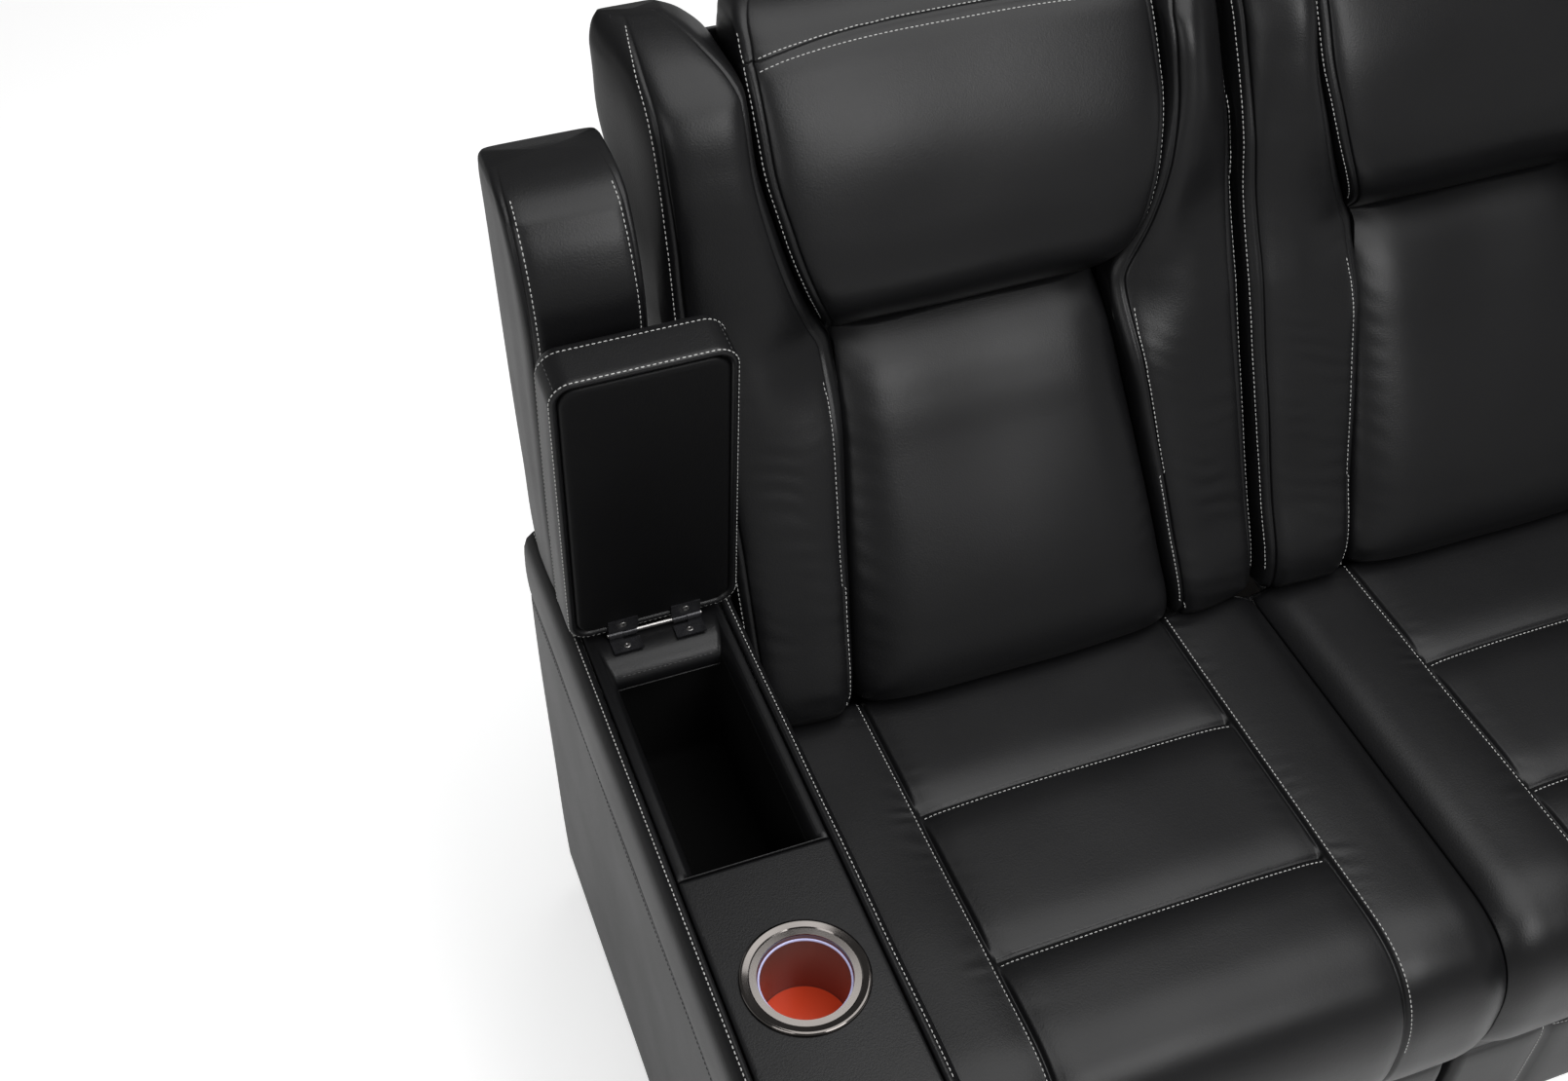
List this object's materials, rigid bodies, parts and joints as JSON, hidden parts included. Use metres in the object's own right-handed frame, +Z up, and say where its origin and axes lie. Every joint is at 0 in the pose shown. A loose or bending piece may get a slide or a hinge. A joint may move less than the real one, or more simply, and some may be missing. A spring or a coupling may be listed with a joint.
{
  "type": "corner sofa",
  "caption": "Leather corner sofa: storage arm with lid and cup holder, power recliner, fixed seat and chaise with high padded backs.",
  "frame": {"origin": "on the floor, under the middle of the box of the whole sofa", "axes": "+X along the back towards the chaise, -Y out of the front, +Z up"},
  "size_m": [2.164, 1.5999, 1.118],
  "materials": {
    "leather": "satin, fine grain, charcoal black",
    "leather_side": "satin, fine grain, charcoal",
    "timber": "sawn",
    "steel": "semi-gloss black powder coat",
    "hinge_steel": "dark nickel plate",
    "bright_steel": "polished",
    "black_plastic": "fine texture",
    "button_metal": "satin",
    "cup_rim": "dark polished nickel",
    "cup_wall": "amber brown",
    "cup_disc": "orange",
    "webbing": "woven elastic strap"
  },
  "bodies": {
    "root": {"arm_frame_left": "timber", "arm_panels_left": "leather_side", "arm_front_left": "leather", "arm_deck_left": "leather", "wing_left": "leather", "well_liner": "black_plastic", "cup_flange": "cup_rim", "cup_body": "cup_wall", "cup_mat": "cup_disc", "hinge_leaves_arm": "hinge_steel", "hinge_rod": "bright_steel", "switch_plate": "black_plastic", "base_rails_1": "timber", "recline_motor_1": "black_plastic", "power_inlet": "black_plastic", "base_rails_2": "timber", "seat_webbing_2": "webbing", "seat_cushion_2": "leather", "front_panel_2": "leather", "back_frame_2": "steel", "back_cover_2": "leather_side", "lumbar_cushion_2": "leather", "bolsters_2": "leather", "headrest_2": "leather", "chaise_rails": "timber", "chaise_panels": "leather_side", "chaise_webbing": "webbing", "chaise_cushion": "leather", "back_frame_3": "steel", "back_cover_3": "leather_side", "lumbar_cushion_3": "leather", "bolsters_3": "leather", "headrest_3": "leather", "arm_frame_right": "timber", "arm_panels_right": "leather_side", "arm_front_right": "leather", "arm_deck_right": "leather", "wing_right": "leather", "feet": "black_plastic"},
    "lid": {"lid_board": "black_plastic", "lid_cushion": "leather", "hinge_leaves_lid": "hinge_steel"},
    "seat_carriage": {"seat_frame_1": "steel", "seat_webbing_1": "webbing", "seat_cushion_1": "leather", "footrest_motor_1": "black_plastic", "recline_rod_1": "bright_steel"},
    "recliner_back": {"back_frame_1": "steel", "back_cover_1": "leather_side", "lumbar_cushion_1": "leather", "bolsters_1": "leather", "headrest_1": "leather"},
    "footrest_crank": {"footrest_crank_1": "steel"},
    "footrest_links": {"footrest_links_1": "steel"},
    "footrest": {"footrest_board_1": "timber", "footrest_pad_1": "leather"},
    "recline_push": {"recline_button": "button_metal"},
    "footrest_push": {"footrest_button": "button_metal"}
  },
  "joints": [
    {"name": "lid_hinge", "type": "hinge", "parent": "root", "child": "lid", "pos_m": [-0.9955, 0.46, 0.625], "axis": [1, 0, 0], "range_deg": [0, 85]},
    {"name": "seat_slide", "type": "slide", "parent": "root", "child": "seat_carriage", "axis": [0, -1, 0], "range_m": [0, 0.063]},
    {"name": "back_recline", "type": "hinge", "parent": "seat_carriage", "child": "recliner_back", "pos_m": [-0.602, 0.51, 0.29], "axis": [-1, 0, 0], "range_deg": [0, 28]},
    {"name": "footrest_lift", "type": "hinge", "parent": "seat_carriage", "child": "footrest_crank", "pos_m": [-0.602, 0.105, 0.215], "axis": [-1, 0, 0], "range_deg": [0, 120.29]},
    {"name": "footrest_elbow", "type": "hinge", "parent": "footrest_crank", "child": "footrest_links", "pos_m": [-0.602, 0.16555, 0.05081], "axis": [1, 0, 0], "range_deg": [0, 124.1]},
    {"name": "footrest_tilt", "type": "hinge", "parent": "footrest_links", "child": "footrest", "pos_m": [-0.602, 0.02, 0.165], "axis": [-1, 0, 0], "range_deg": [0, 88.8]},
    {"name": "recline_press", "type": "slide", "parent": "root", "child": "recline_push", "axis": [-1, 0, 0], "range_m": [0, 0.0015], "stiffness_N_per_m": 800, "springref_m": -0.0005},
    {"name": "footrest_press", "type": "slide", "parent": "root", "child": "footrest_push", "axis": [-1, 0, 0], "range_m": [0, 0.0015], "stiffness_N_per_m": 800, "springref_m": -0.0005}
  ],
  "couplings": [
    {"joint": "seat_slide", "follows": "back_recline", "m_per_rad": 0.12871},
    {"joint": "footrest_elbow", "follows": "footrest_lift", "ratio": 1.0311},
    {"joint": "footrest_tilt", "follows": "footrest_lift", "ratio": 0.73767}
  ]
}
